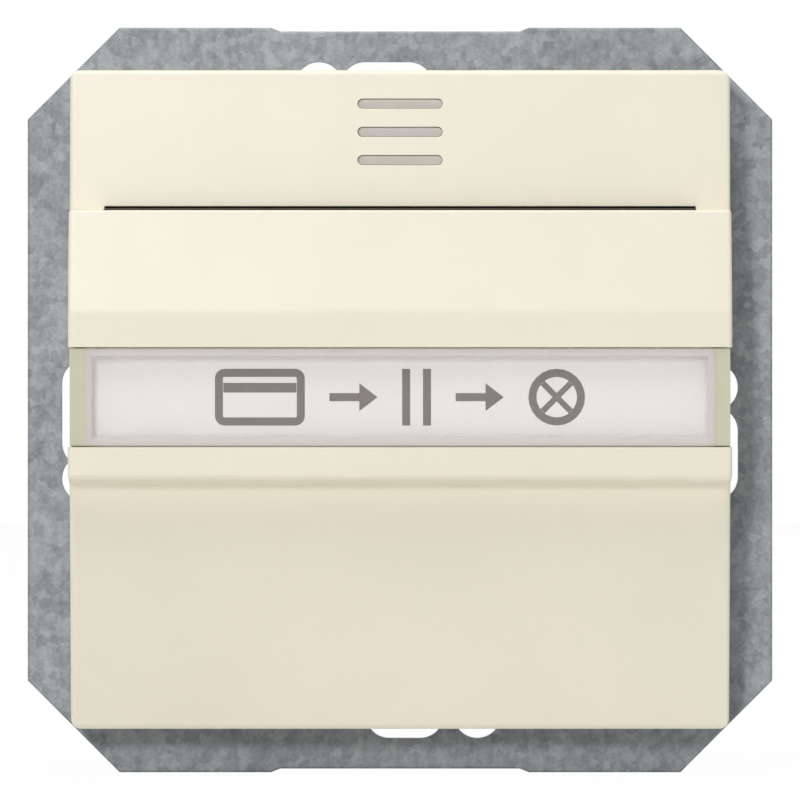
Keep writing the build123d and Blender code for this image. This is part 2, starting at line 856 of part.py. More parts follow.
plunger_tip = plunger_apex(0) - push_gap
plunger_travel = plunger_apex(0) - plunger_apex(flap_swing_angle)
contact_front = contact_pivot_front + contact_face
stem_end = contact_front + push_gap
push_arm = contact_face + stem_radius
push_sum = math.hypot(push_arm - plunger_travel, contact_pivot_z)
contact_swing = math.degrees(
    math.atan2(contact_pivot_z, push_arm - plunger_travel) - math.acos(push_arm / push_sum)
)
claw_arm = claw_screw_x - claw_pivot_x
claw_rise = claw_arm * math.sin(math.radians(claw_swing_angle))
claw_screw_turn = 360 * claw_rise / claw_screw_pitch
tongue_backs = {
    (-1, 1): contact_pivot_front - yoke_depth - bar_thickness,
    (-1, -1): contact_front + stud_height,
    (1, -1): bar_rear_front,
    (1, 1): bar_front - 2 * bar_thickness,
}


def make_plunger():
    tip = Pos(0, -(plunger_tip - plunger_dome), 0) * Sphere(plunger_dome)
    disc_front = plunger_tip - plunger_nose
    disc_back = disc_front - plunger_disc_thickness
    nose = rod_y(0, 0, plunger_tip_radius, disc_back, plunger_tip) & (
        tip + rod_y(0, 0, plunger_tip_radius, disc_back, plunger_tip - plunger_dome / 2)
    )
    stem = rod_y(0, 0, stem_radius, stem_end + stem_radius, disc_back)
    end = Pos(0, -(stem_end + stem_radius), 0) * Sphere(stem_radius)
    return nose + rod_y(0, 0, plunger_disc_radius, disc_back, disc_front) + stem + end


def helix_path(radius, back, front, turns):
    """One unbroken coil about the plunger's axis, made of biarcs of a quarter turn."""
    quarters = 4 * turns
    rise = (front - back) / quarters
    slope = math.hypot(radius * math.pi / 2, rise)
    edges = []

    def place(step):
        angle = step * math.pi / 2
        return Vector(radius * math.cos(angle), -(back + rise * step), radius * math.sin(angle))

    def heading(step):
        angle = step * math.pi / 2
        along = radius * math.pi / 2
        return Vector(-along * math.sin(angle), -rise, along * math.cos(angle)) * (1 / slope)

    for step in range(quarters):
        start, finish = place(step), place(step + 1)
        leave, arrive = heading(step), heading(step + 1)
        chord = finish - start
        both = leave + arrive
        spread = 2 * (1 - leave.dot(arrive))
        across = chord.dot(both)
        reach = (math.sqrt(across * across + spread * chord.dot(chord)) - across) / spread
        joint = (start + leave * reach + finish - arrive * reach) * 0.5
        edges.append(Edge.make_tangent_arc(start, leave, joint))
        edges.append(Edge.make_tangent_arc(finish, arrive * -1, joint).reversed())
    return Wire(edges)


def least_gap(path, turns, wire):
    """Least space between points of a coil that lie half a turn or more apart along it."""
    steps = 48 * turns
    points = [path @ (step / steps) for step in range(steps + 1)]
    apart = steps // turns // 2
    pairs = [(a, b) for a in range(steps + 1) for b in range(a + apart, steps + 1)]
    return min((points[a] - points[b]).length for a, b in pairs) - wire


def make_plunger_spring():
    disc_back = plunger_tip - plunger_nose - plunger_disc_thickness
    back = well_floor_front + spring_wire / 2 + spring_seat_gap
    front = disc_back - spring_wire / 2 - spring_seat_gap
    path = helix_path(spring_radius, back, front, spring_turns)
    section = Plane(origin=path @ 0, z_dir=path % 0) * Circle(spring_wire / 2)
    print("plunger spring: least gap between turns", round(least_gap(path, spring_turns, spring_wire), 3))
    return sweep(section, path=path)


def make_moving_contact():
    half = contact_width / 2
    back = contact_front - contact_thickness
    foot = contact_stud_z - contact_foot - stud_radius
    contact = block(-half, half, back, contact_front, foot, contact_pivot_z)
    contact += rod_x(contact_pivot_front, contact_pivot_z, contact_hub_radius, -half, half)
    bore = contact_pin_radius + running_gap
    contact -= rod_x(contact_pivot_front, contact_pivot_z, bore, -half - overrun, half + overrun)
    return contact


def make_moving_studs():
    back = contact_front - contact_thickness
    front_stud = rod_y(0, contact_stud_z, stud_radius, contact_front, contact_front + stud_height)
    rear_stud = rod_y(0, contact_stud_z, stud_radius, back - stud_height, back)
    return Compound(children=[front_stud.solid(), rear_stud.solid()])


def swung(shape, swing):
    """The shape turned about the rocking contact's pivot, as the contact turns."""
    axis = Axis((0, -contact_pivot_front, contact_pivot_z), (1, 0, 0))
    return shape.rotate(axis, swing)


def make_fixed_studs():
    front_back = contact_front + stud_height + break_gap
    front_stud = rod_y(0, contact_stud_z, stud_radius, front_back, front_back + stud_height)
    rear_front_face = contact_front - contact_thickness - stud_height - break_gap
    rear_stud = rod_y(0, contact_stud_z, stud_radius, rear_front_face - stud_height, rear_front_face)
    return Compound(children=[front_stud.solid(), swung(rear_stud, contact_swing).solid()])


def make_contact_pin():
    reach = contact_width / 2 + yoke_gap + yoke_ear
    return rod_x(contact_pivot_front, contact_pivot_z, contact_pin_radius, -reach, reach)


# Terminal bars
def terminal_plate(side, level, front):
    plate = block(bar_inner_x, bar_inner_x + bar_width, bar_rear_front, front, bar_inner_z, bar_outer_z)
    return flipped(mirrored(plate, side), level)


def make_terminal_common():
    ear_inner = contact_width / 2 + yoke_gap
    ear_outer = ear_inner + yoke_ear
    ear_low = contact_pivot_z - contact_hub_radius
    ear_high = contact_pivot_z + contact_hub_radius
    back = contact_pivot_front - yoke_depth
    bar = terminal_plate(-1, 1, bar_front)
    bar += block(-bar_inner_x - tongue_width, ear_outer, back - bar_thickness, back, ear_low, ear_high)
    bar += block(
        -bar_inner_x - tongue_width, -bar_inner_x, back - bar_thickness, back, ear_low, bar_outer_z,
    )
    for side in signs:
        ear = block(ear_inner, ear_outer, back, contact_pivot_front + contact_hub_radius, ear_low, ear_high)
        bar += mirrored(ear, side)
    bar -= rod_x(contact_pivot_front, contact_pivot_z, contact_pin_radius, -ear_outer, ear_outer)
    return bar


def make_terminal_closed():
    back = contact_front + stud_height + break_gap + stud_height
    front = back + bar_thickness
    bar = terminal_plate(-1, -1, front)
    outer = -bar_inner_x - tongue_width
    low = contact_stud_z - arm_height / 2
    high = contact_stud_z + arm_height / 2
    bar += block(outer, stud_radius + contact_foot, back, front, low, high)
    bar += block(outer, -bar_inner_x, back, front, -bar_outer_z, high)
    return bar


def make_terminal_open():
    face = contact_front - contact_thickness - stud_height - break_gap - stud_height
    outer = bar_inner_x + tongue_width
    low = contact_stud_z - arm_height / 2
    high = contact_stud_z + arm_height / 2
    arm = block(-stud_radius - contact_foot, outer, face - bar_thickness, face, low, high)
    arm = swung(arm, contact_swing)
    foot = arm.vertices().sort_by(Axis.Z)[0]
    tongue_front = -foot.Y + bar_thickness
    tongue = block(
        bar_inner_x, outer, bar_rear_front, tongue_front, -bar_outer_z, foot.Z + bar_thickness,
    )
    return terminal_plate(1, -1, bar_front) + tongue + arm


def make_terminal_lamp():
    return terminal_plate(1, 1, bar_front)


def make_terminal_springs(level):
    outer = terminal_outer_z - bar_wall_gap - terminal_spring_thickness / 2
    rear = rear_front + prong_reach + terminal_spring_thickness
    middle = key_z - prong_thickness
    inner = bar_outer_z + terminal_spring_thickness
    path = FilletPolyline(
        (outer, rear + 2 * prong_reach), (outer, rear), (middle, rear), (inner, rear + 2 * prong_reach),
        radius=terminal_spring_bend,
    )
    strip = trace(path, line_width=terminal_spring_thickness)
    springs = []
    for side in signs:
        for step in signs:
            x = side * wire_centre_x + step * wire_pitch / 2
            half = terminal_spring_width / 2
            flat = Plane(origin=(x - half, 0, 0), x_dir=(0, 0, 1), z_dir=(1, 0, 0))
            spring = extrude(flat * strip, amount=2 * half)
            springs.append(flipped(spring, level).solid())
    return Compound(children=springs)


def make_release_key(level):
    plate_front = rear_front - key_travel
    key = block(
        -key_width / 2, key_width / 2, plate_front - key_thickness, plate_front,
        key_z - key_height / 2, key_z + key_height / 2,
    )
    key = fillet(key.edges().filter_by(Axis.Y), key_thickness / 2)
    for side in signs:
        x = side * wire_centre_x
        key += block(
            x - prong_width / 2, x + prong_width / 2, plate_front, rear_front + prong_reach - key_travel,
            key_z - prong_thickness / 2, key_z + prong_thickness / 2,
        )
    return flipped(key, level)


# Claws
def make_claw(side):
    tab_back = claw_front - claw_thickness / 2
    tab_front = claw_front + claw_thickness / 2
    outer = claw_screw_x + claw_overhang
    inner = outer - claw_thickness
    leg_end = tab_back - claw_leg
    pitch = claw_leg / claw_teeth
    teeth = []
    for tooth in range(claw_teeth):
        start = tab_back - tooth * pitch
        teeth += [(outer, start), (outer + claw_tooth, start - pitch / 4)]
    outline = [(claw_pivot_x, tab_back), (claw_pivot_x, tab_front), (outer, tab_front)]
    outline += teeth + [(outer, leg_end), (inner, leg_end), (inner, tab_back)]
    half = claw_height / 2
    claw = prism_z(polygon(outline), -half, half)
    claw += rod_z(claw_pivot_x, claw_front, claw_hub_radius, -half, half)
    bore = claw_pin_radius + running_gap
    claw -= rod_z(claw_pivot_x, claw_front, bore, -half - overrun, half + overrun)
    claw -= rod_y(claw_screw_x, 0, claw_hole_radius, tab_back - overrun, tab_front + overrun)
    return mirrored(claw, side)


def make_claw_pins():
    reach = pocket_height / 2 + claw_pin_seat
    pins = [
        rod_z(side * claw_pivot_x, claw_front, claw_pin_radius, -reach, reach).solid()
        for side in signs
    ]
    return Compound(children=pins)


def screw(x, z, seat, head_radius, head_height, shank_radius, tip, recess_share):
    """Pan head screw whose head stands in front of seat and whose shank runs back to tip."""
    head = rod_y(x, z, head_radius, seat, seat + head_height)
    rim = head.edges().filter_by(GeomType.CIRCLE).sort_by(Axis.Y)[0]
    head = fillet(rim, screw_head_round * recess_share)
    deep = seat + head_height - recess_depth * recess_share
    top = seat + head_height + overrun
    long_half = recess_length * recess_share / 2
    thin_half = recess_width * recess_share / 2
    head -= block(x - long_half, x + long_half, deep, top, z - thin_half, z + thin_half)
    head -= block(x - thin_half, x + thin_half, deep, top, z - long_half, z + long_half)
    return head + rod_y(x, z, shank_radius, tip, seat)


def make_claw_screw(side):
    return screw(
        side * claw_screw_x, 0, plate_thickness, screw_head_radius, screw_head_height,
        claw_screw_radius, plate_thickness - claw_screw_length, 1,
    )


def make_bridge_screws():
    seat = bridge_front - small_head_height
    screws = [
        screw(
            0, level * bridge_screw_z, seat, small_head_radius, small_head_height,
            small_screw_radius, seat - bridge_screw_length + small_head_height, small_recess_share,
        ).solid()
        for level in signs
    ]
    return Compound(children=screws)


def make_guide_screws():
    seat = guide_back_front + guide_thickness
    screws = [
        screw(
            side * guide_screw_x, guide_screw_z, seat, small_head_radius, small_head_height,
            small_screw_radius, -guide_screw_tip, small_recess_share,
        ).solid()
        for side in signs
    ]
    return Compound(children=screws)


# Orientation lamp
def make_glow_lamp():
    half = lamp_length / 2
    body = rod_x(lamp_front, lamp_z, lamp_radius, -half, half)
    body = fillet(body.edges().filter_by(GeomType.CIRCLE), lamp_radius / 2)
    pinch = rod_x(lamp_front, lamp_z, pinch_radius, -lamp_end, lamp_end)
    return body + pinch


def make_lamp_holder():
    outer = lamp_length / 2 - cheek_inset
    inner = outer - cheek_thickness
    low = lamp_z - holder_width / 2
    high = lamp_z + holder_width / 2
    top = flange_front + holder_height
    holder = block(-outer, outer, flange_front, top, high, high + holder_spine)
    for side in signs:
        holder += mirrored(block(inner, outer, flange_front, top, low, high + holder_spine), side)
    holder -= rod_x(lamp_front, lamp_z, lamp_radius + lamp_play, -outer - overrun, outer + overrun)
    return holder


def lead(points):
    path = FilletPolyline(*[(x, -front, z) for x, front, z in points], radius=lead_bend)
    section = Plane(origin=path @ 0, z_dir=path % 0) * Circle(lead_radius)
    return sweep(section, path=path)


def make_lamp_leads():
    depth = bar_front - lead_depth
    right = lead([
        (lamp_end, lamp_front, lamp_z), (lead_right_x, lamp_front, lamp_z),
        (lead_right_x, lamp_front, lead_drop_z),
        (lead_right_x, depth, lead_drop_z), (lead_right_x, depth, bar_outer_z),
    ])
    short = rod_x(lamp_front, lamp_z, lead_radius, -resistor_start, -lamp_end)
    left = lead([
        (-resistor_end, lamp_front, lamp_z), (-lead_left_x, lamp_front, lamp_z),
        (-lead_left_x, lamp_front, lead_drop_z), (-lead_left_x, depth, lead_drop_z),
        (-lead_left_x, depth, bar_outer_z),
    ])
    return Compound(children=[right.solid(), short.solid(), left.solid()])


def make_lamp_resistor():
    body = rod_x(lamp_front, lamp_z, resistor_radius, -resistor_end, -resistor_start)
    return fillet(body.edges().filter_by(GeomType.CIRCLE), resistor_round)


pieces = {
    "mounting_plate": make_mounting_plate(),
    "cover": make_cover(),
    "light_guide": make_light_guide(),
    "label_window": make_label_window(),
    "label_strip": make_label_strip(),
    "insert_base": make_insert_base(),
    "insert_cover": make_insert_cover(),
    "bridge_screws": make_bridge_screws(),
    "card_guide": make_card_guide(),
    "guide_screws": make_guide_screws(),
    "card_flap": make_card_flap(),
    "flap_pin": make_flap_pin(),
    "plunger": make_plunger(),
    "plunger_spring": make_plunger_spring(),
    "moving_contact": make_moving_contact(),
    "moving_studs": make_moving_studs(),
    "contact_pin": make_contact_pin(),
    "fixed_studs": make_fixed_studs(),
    "terminal_common": make_terminal_common(),
    "terminal_closed": make_terminal_closed(),
    "terminal_open": make_terminal_open(),
    "terminal_lamp": make_terminal_lamp(),
    "terminal_springs_top": make_terminal_springs(1),
    "terminal_springs_bottom": make_terminal_springs(-1),
    "release_key_top": make_release_key(1),
    "release_key_bottom": make_release_key(-1),
    "claw_left": make_claw(-1),
    "claw_right": make_claw(1),
    "claw_pins": make_claw_pins(),
    "claw_screw_left": make_claw_screw(-1),
    "claw_screw_right": make_claw_screw(1),
    "glow_lamp": make_glow_lamp(),
    "lamp_holder": make_lamp_holder(),
    "lamp_leads": make_lamp_leads(),
    "lamp_resistor": make_lamp_resistor(),
}

os.makedirs("parts", exist_ok=True)
for name, piece in pieces.items():
    export_step(piece, "parts/" + name + ".step")

print("plunger travel", round(plunger_travel, 4), "for a flap swing of", flap_swing_angle)
print("contact swing", round(contact_swing, 4))
print("claw screw turn", round(claw_screw_turn, 2), "for a claw swing of", claw_swing_angle)
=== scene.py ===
# %% [markdown]
# # A hotel key card switch
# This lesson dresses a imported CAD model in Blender. The switch is a flush wall insert:
# a galvanized plate, a moulded block behind it and an ivory cover with a hooded nose.
# The CAD model is the frame. Its pieces keep their place, and Blender gives them their finish.

# %% Load the frame
import math

import bmesh
import bpy
from mathutils import Matrix, Vector


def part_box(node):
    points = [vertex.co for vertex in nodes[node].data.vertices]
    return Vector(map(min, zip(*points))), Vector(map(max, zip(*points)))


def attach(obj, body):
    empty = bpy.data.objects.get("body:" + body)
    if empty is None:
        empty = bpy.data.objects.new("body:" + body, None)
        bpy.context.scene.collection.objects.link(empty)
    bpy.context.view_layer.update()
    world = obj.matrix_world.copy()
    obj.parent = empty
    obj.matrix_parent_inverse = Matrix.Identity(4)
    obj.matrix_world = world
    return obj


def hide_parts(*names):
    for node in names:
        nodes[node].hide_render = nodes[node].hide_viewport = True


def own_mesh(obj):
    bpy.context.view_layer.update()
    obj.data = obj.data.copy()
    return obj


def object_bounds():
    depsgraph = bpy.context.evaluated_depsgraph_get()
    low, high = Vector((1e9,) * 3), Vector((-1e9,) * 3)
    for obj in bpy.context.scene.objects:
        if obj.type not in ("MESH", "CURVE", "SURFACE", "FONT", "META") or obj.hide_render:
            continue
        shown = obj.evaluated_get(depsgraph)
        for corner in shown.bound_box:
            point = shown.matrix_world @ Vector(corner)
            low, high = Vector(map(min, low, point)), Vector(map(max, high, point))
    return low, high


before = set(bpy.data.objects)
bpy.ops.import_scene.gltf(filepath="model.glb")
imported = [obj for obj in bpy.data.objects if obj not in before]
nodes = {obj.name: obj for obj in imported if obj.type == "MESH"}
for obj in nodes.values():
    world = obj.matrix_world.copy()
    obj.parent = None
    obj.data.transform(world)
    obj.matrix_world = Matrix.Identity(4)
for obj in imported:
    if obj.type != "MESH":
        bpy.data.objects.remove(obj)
cad_low, cad_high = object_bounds()
scene = bpy.context.scene
scene.view_settings.view_transform = "Standard"
MM = 0.001
print("nodes", len(nodes), "size in mm", [round(v / MM, 2) for v in cad_high - cad_low])

# %% [markdown]
# ## The camera
# The photograph is square on: left and right edges of the plate look alike, and so do top and
# bottom. So the camera stands straight in front, level with the middle of the plate. The hooded
# nose looks hardly larger than the plate behind it, so the camera is far off with a long lens.
# How far is a guess: nearer with a flatter nose would look the same.

# %% Camera
CAMERA_DISTANCE = 0.6
FRAME_WIDTH = 76.4 * MM
SENSOR_WIDTH = 36.0

camera_data = bpy.data.cameras.new("camera")
camera_data.sensor_width = SENSOR_WIDTH
camera_data.lens = SENSOR_WIDTH * CAMERA_DISTANCE / FRAME_WIDTH
camera_data.clip_start = 0.01
camera_data.clip_end = 20.0
camera = bpy.data.objects.new("camera", camera_data)
scene.collection.objects.link(camera)
camera.location = (0.0, -CAMERA_DISTANCE, 0.0)
camera.rotation_euler = (math.pi / 2, 0.0, 0.0)
scene.camera = camera
print("lens in mm", round(camera_data.lens, 1))

# %% [markdown]
# ## Shader maths
# A finish is a small formula over the surface: a bit of noise times a strength, added to a
# colour. Typed as nodes one by one, such a formula is hard to read. So a number that changes
# over the surface is wrapped in a class whose operators add the Math nodes.

# %% Numbers and finishes
CRYSTAL_BLUR = 0.25


class Number:
    """A socket that holds a number. Arithmetic on it adds Math nodes to its finish."""

    def __init__(self, finish, socket):
        self.finish = finish
        self.socket = socket

    def math(self, operation, first, second):
        settings = {"operation": operation, "use_clamp": False}
        return self.finish.node("ShaderNodeMath", settings, {0: first, 1: second})

    def __add__(self, other):
        return self.math("ADD", self, other)

    def __radd__(self, other):
        return self.math("ADD", other, self)

    def __sub__(self, other):
        return self.math("SUBTRACT", self, other)

    def __rsub__(self, other):
        return self.math("SUBTRACT", other, self)

    def __mul__(self, other):
        return self.math("MULTIPLY", self, other)

    def __rmul__(self, other):
        return self.math("MULTIPLY", other, self)

    def __truediv__(self, other):
        return self.math("DIVIDE", self, other)

    def __rtruediv__(self, other):
        return self.math("DIVIDE", other, self)

    def __lt__(self, other):
        return self.math("LESS_THAN", self, other)

    def most(self, other):
        return self.math("MAXIMUM", self, other)

    def least(self, other):
        return self.math("MINIMUM", self, other)

    def size(self):
        return self.math("ABSOLUTE", self, 0.0)


class Finish:
    """A material whose nodes come from one method."""

    def __init__(self, name):
        self.material = bpy.data.materials.new(name)
        self.material.use_nodes = True
        self.tree = self.material.node_tree
        self.tree.nodes.clear()
        self.place = self.node("ShaderNodeTexCoord", output="Object")

    def node(self, kind, settings=None, inputs=None, output=0):
        made = self.tree.nodes.new(kind)
        for name, value in (settings or {}).items():
            if name == "stops":
                self.set_stops(made.color_ramp, value)
            else:
                setattr(made, name, value)
        for name, value in (inputs or {}).items():
            self.feed(made.inputs[name], value)
        return Number(self, made.outputs[output])

    def set_stops(self, ramp, stops):
        while len(ramp.elements) < len(stops):
            ramp.elements.new(1.0)
        for element, (position, colour) in zip(ramp.elements, stops):
            element.position = position
            element.color = tuple(colour) + (1.0,)

    def feed(self, socket, value):
        if isinstance(value, Number):
            self.tree.links.new(value.socket, socket)
        elif socket.type == "RGBA" and len(value) == 3:
            socket.default_value = tuple(value) + (1.0,)
        else:
            socket.default_value = value

    def scaled(self, scale, seed=0.0):
        """The place on the object, counted in blotches instead of metres."""
        inputs = {"Vector": self.place, "Location": (seed, seed, seed), "Scale": scale}
        return self.node("ShaderNodeMapping", {}, inputs)

    def noise(self, size, detail=2.0, stretch=(1.0, 1.0, 1.0), seed=0.0, output="Fac"):
        """Smooth noise between 0 and 1 whose blotches are about size wide, in metres."""
        place = self.scaled([share / size for share in stretch], seed)
        inputs = {"Vector": place, "Scale": 1.0, "Detail": detail}
        return self.node("ShaderNodeTexNoise", {}, inputs, output)

    def cells(self, size, wander):
        """Crystals about size wide, each with its own random colour, with wandering edges."""
        inputs = {0: self.scaled((1 / size,) * 3), 1: wander}
        place = self.node("ShaderNodeVectorMath", {"operation": "ADD"}, inputs)
        sizes = {"Vector": place, "Scale": 1.0, "Smoothness": CRYSTAL_BLUR}
        return self.node("ShaderNodeTexVoronoi", {"feature": "SMOOTH_F1"}, sizes, "Color")

    def shade_of(self, colour):
        """One of a colour's three parts, as a number."""
        return self.node("ShaderNodeSeparateColor", {}, {"Color": colour}, "Red")

    def level(self, number, low, high):
        """The number, clipped between low and high and spread from 0 to 1."""
        inputs = {"Value": number, "From Min": low, "From Max": high}
        return self.node("ShaderNodeMapRange", {"clamp": True}, inputs)

    def mix(self, share, first, second):
        """One colour passing into another."""
        made = self.tree.nodes.new("ShaderNodeMix")
        made.data_type = "RGBA"
        self.feed(made.inputs["Factor"], share)
        self.feed(made.inputs[6], first)
        self.feed(made.inputs[7], second)
        return Number(self, made.outputs[2])

    def axis(self, name):
        return self.node("ShaderNodeSeparateXYZ", {}, {"Vector": self.place}, name)

    def bump(self, height, depth, before=None):
        """A relief of the given depth in metres."""
        inputs = {"Height": height, "Strength": 1.0, "Distance": depth}
        if before is not None:
            inputs["Normal"] = before
        return self.node("ShaderNodeBump", {}, inputs)

    def surface(self, **inputs):
        named = {name.replace("_", " "): value for name, value in inputs.items()}
        return self.node("ShaderNodeBsdfPrincipled", {}, named)

    def finish(self, shader):
        out = self.tree.nodes.new("ShaderNodeOutputMaterial")
        self.tree.links.new(shader.socket, out.inputs["Surface"])
        return self.material


def linear(red, green, blue):
    """A colour read on a screen, 0 to 255, as light."""
    def one(value):
        share = value / 255
        return share / 12.92 if share <= 0.04045 else ((share + 0.055) / 1.055) ** 2.4
    return (one(red), one(green), one(blue))


def shaded(colour, share):
    return tuple(min(1.0, part * share) for part in colour)


# %% [markdown]
# ## Moulded plastic
# A satin moulding is never one flat colour. Resin is a little uneven over centimetres, the
# tool leaves a fine grain that breaks the highlight, and roughness wanders with handling.
# All plastics here share one recipe with their own colour, grain and gloss.

# %% Plastics
def moulded(name, colour, gloss=0.38, grain=0.22 * MM, depth=0.006 * MM, drift=0.035):
    made = Finish(name)
    broad = made.noise(14 * MM, 3.0)
    fine = made.noise(grain, 1.0, seed=3.0)
    tint = made.mix(broad, shaded(colour, 1 - drift), shaded(colour, 1 + drift))
    rough = gloss - 0.05 + 0.08 * made.noise(5 * MM, 2.0, seed=7.0) + 0.04 * fine
    shader = made.surface(Base_Color=tint, Roughness=rough, IOR=1.5, Normal=made.bump(fine, depth))
    return made.finish(shader)


plastics = {
    "ivory_plastic": moulded("ivory_plastic", linear(238, 232, 213), 0.36),
    "base_plastic": moulded("base_plastic", linear(206, 206, 202), 0.5, 0.3 * MM, 0.012 * MM),
    "bridge_plastic": moulded("bridge_plastic", linear(226, 223, 213), 0.45),
    # The card guide's dark brown is painted shade: it stands in for the shade deep in the card slot.
    "guide_plastic": moulded("guide_plastic", linear(88, 79, 70), 0.42, 0.3 * MM, 0.01 * MM, 0.12),
    "flap_plastic": moulded("flap_plastic", linear(228, 228, 224), 0.3),
    "key_plastic": moulded("key_plastic", linear(222, 120, 42), 0.4),
}
print("plastics", sorted(plastics))

# %% [markdown]
# ## Metals
# Hot-dip galvanizing leaves zinc crystals, the spangle, each dulled a little differently.
# Voronoi cells carry that difference, noise blurs them, and a second finer noise is the dull
# bloom on top. Plated and stamped pieces have fine drawing lines and no crystals.

# %% Metals
def galvanized(name):
    made = Finish(name)
    wander = made.noise(0.5 * MM, 3.0, output="Color")
    crystals = made.shade_of(made.cells(0.8 * MM, wander))
    bloom = made.noise(0.35 * MM, 5.0)
    streak = made.noise(0.9 * MM, 3.0, (1.0, 1.0, 0.45), seed=9.0)
    broad = made.noise(9 * MM, 3.0, seed=5.0)
    share = made.level(0.22 * crystals + 0.4 * bloom + 0.38 * streak + 0.5 * (broad - 0.5), 0.3, 0.7)
    tint = made.mix(share, linear(121, 126, 131), linear(166, 171, 175))
    rough = 0.44 + 0.14 * bloom
    height = 0.2 * crystals + 0.8 * bloom
    relief = made.bump(height, 0.008 * MM)
    shader = made.surface(Base_Color=tint, Metallic=0.15, Roughness=rough, IOR=1.35, Normal=relief)
    return made.finish(shader)


def plated(name, colour, gloss=0.28, lines=(1.0, 1.0, 1.0), drift=0.1):
    made = Finish(name)
    cloud = made.noise(1.6 * MM, 3.0)
    drawn = made.noise(0.25 * MM, 2.0, lines, seed=2.0)
    tint = made.mix(cloud, shaded(colour, 1 - drift), shaded(colour, 1 + drift))
    rough = gloss - 0.06 + 0.1 * cloud + 0.08 * drawn
    relief = made.bump(drawn, 0.004 * MM)
    shader = made.surface(Base_Color=tint, Metallic=1.0, Roughness=rough, Normal=relief)
    return made.finish(shader)


metals = {
    "galvanized_steel": galvanized("galvanized_steel"),
    "zinc_plated_steel": plated("zinc_plated_steel", linear(196, 200, 204), 0.3, (1.0, 0.2, 1.0)),
    "spring_steel": plated("spring_steel", linear(176, 178, 182), 0.24, (0.2, 1.0, 1.0)),
    "terminal_brass": plated("terminal_brass", linear(212, 176, 104), 0.32, (1.0, 1.0, 0.15)),
    "contact_silver": plated("contact_silver", linear(222, 222, 218), 0.22),
    "tinned_wire": plated("tinned_wire", linear(200, 200, 200), 0.3),
}
print("metals", sorted(metals))

# %% [markdown]
# ## Clear pieces, paper and the lamp
# The label window is clear acrylic. Full glass is slow and dims what lies under it, so a flat
# clear piece is better made of two simple layers: most rays pass straight through, and the
# rest meet a glossy skin. The share of the skin rises at a low angle, as it does on glass,
# and along the moulded rim. There the skin is painted shade: grey along the edges and olive
# in the end legs, for the shaded recess seen through the clear rim.

# %% Glass, paper and lacquer
RIM_WIDTH = 0.6 * MM
RIM_FADE = 0.5 * MM
END_WIDTH = 1.9 * MM
LEG_WIDTH = 1.25 * MM
# How much of the painted shade skin covers the window's edges and its end legs.
EDGE_PAINTED_SHADE = 0.65
LEG_PAINTED_SHADE = 0.75
RING_HALF_WIDTH = 0.045
RESISTOR_RINGS = (
    (0.18, (120, 60, 30)),
    (0.36, (240, 130, 30)),
    (0.54, (250, 210, 40)),
    (0.82, (190, 150, 60)),
)


def clear(name, colour, gloss, ior, body, rim=None):
    made = Finish(name)
    haze = made.noise(0.9 * MM, 3.0)
    share = made.node("ShaderNodeFresnel", {}, {"IOR": ior}) + body * (0.5 + haze)
    if rim is not None:
        colour, more = rim(made, colour)
        share = (share + more).least(1.0)
    skin = made.surface(Base_Color=colour, Roughness=gloss + 0.03 * haze, IOR=ior)
    passed = made.node("ShaderNodeBsdfTransparent", {}, {"Color": (1.0, 1.0, 0.995)})
    return made.finish(made.node("ShaderNodeMixShader", {}, {0: share, 1: passed, 2: skin}))


def painted_rim_shade(made, colour):
    """Painted shade along the label window's rim: grey at the edges, olive with more body in its end legs.
    """
    low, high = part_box("label_window")
    middle = (low.z + high.z) / 2
    across = (made.axis("Z") - middle).size()
    along = made.axis("X").size()
    half = (high.z - low.z) / 2
    edge = made.level(across, half - RIM_WIDTH - RIM_FADE, half - RIM_WIDTH)
    ends = made.level(along, high.x - END_WIDTH - RIM_FADE, high.x - END_WIDTH)
    legs = made.level(along, high.x - LEG_WIDTH - RIM_FADE, high.x - LEG_WIDTH)
    # The olive is painted shade: the shaded ivory recess seen through the end legs.
    tint = made.mix(legs, colour, linear(230, 227, 204))
    return tint, (EDGE_PAINTED_SHADE * edge.most(ends)).most(LEG_PAINTED_SHADE * legs)


def paper(name):
    made = Finish(name)
    fibre = made.noise(0.35 * MM, 4.0, (0.4, 1.0, 1.0))
    broad = made.noise(9 * MM, 2.0, seed=4.0)
    tint = made.mix(0.5 * fibre + 0.5 * broad, linear(242, 239, 237), linear(250, 248, 246))
    relief = made.bump(fibre, 0.004 * MM)
    shader = made.surface(Base_Color=tint, Roughness=0.75 + 0.1 * fibre, Normal=relief)
    return made.finish(shader)


def milky(name):
    made = Finish(name)
    cloud = made.noise(1.2 * MM, 3.0)
    tint = made.mix(cloud, linear(202, 195, 193), linear(214, 208, 206))
    shader = made.surface(Base_Color=tint, Roughness=0.3 + 0.1 * cloud, IOR=1.49)
    return made.finish(shader)


def lacquer(name):
    """A small resistor: beige lacquer with four colour rings along its axis."""
    made = Finish(name)
    low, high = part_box("lamp_resistor")
    length = high.x - low.x
    along = (made.axis("X") - low.x) / length
    tint = made.mix(made.noise(0.8 * MM, 2.0), linear(196, 168, 124), linear(212, 186, 142))
    for centre, colour in RESISTOR_RINGS:
        tint = made.mix((along - centre).size() < RING_HALF_WIDTH, tint, linear(*colour))
    shader = made.surface(Base_Color=tint, Roughness=0.3 + 0.1 * made.noise(1 * MM, seed=6.0))
    return made.finish(shader)


others = {
    # The clear window's grey skin colour shows mostly as the painted shade along its rim.
    "clear_plastic": clear("clear_plastic", linear(234, 229, 227), 0.05, 1.05, 0.002, painted_rim_shade),
    "lamp_glass": clear("lamp_glass", linear(220, 214, 206), 0.03, 1.25, 0.03),
    "label_paper": paper("label_paper"),
    "milky_plastic": milky("milky_plastic"),
    "resistor_lacquer": lacquer("resistor_lacquer"),
}
finishes = {**plastics, **metals, **others}

# %% [markdown]
# ## Giving each node its finish
# The record names a material slot for every node, so the finish follows it.

# %% Assign the finishes
def dress(obj, slot):
    obj.data.materials.clear()
    obj.data.materials.append(finishes[slot])


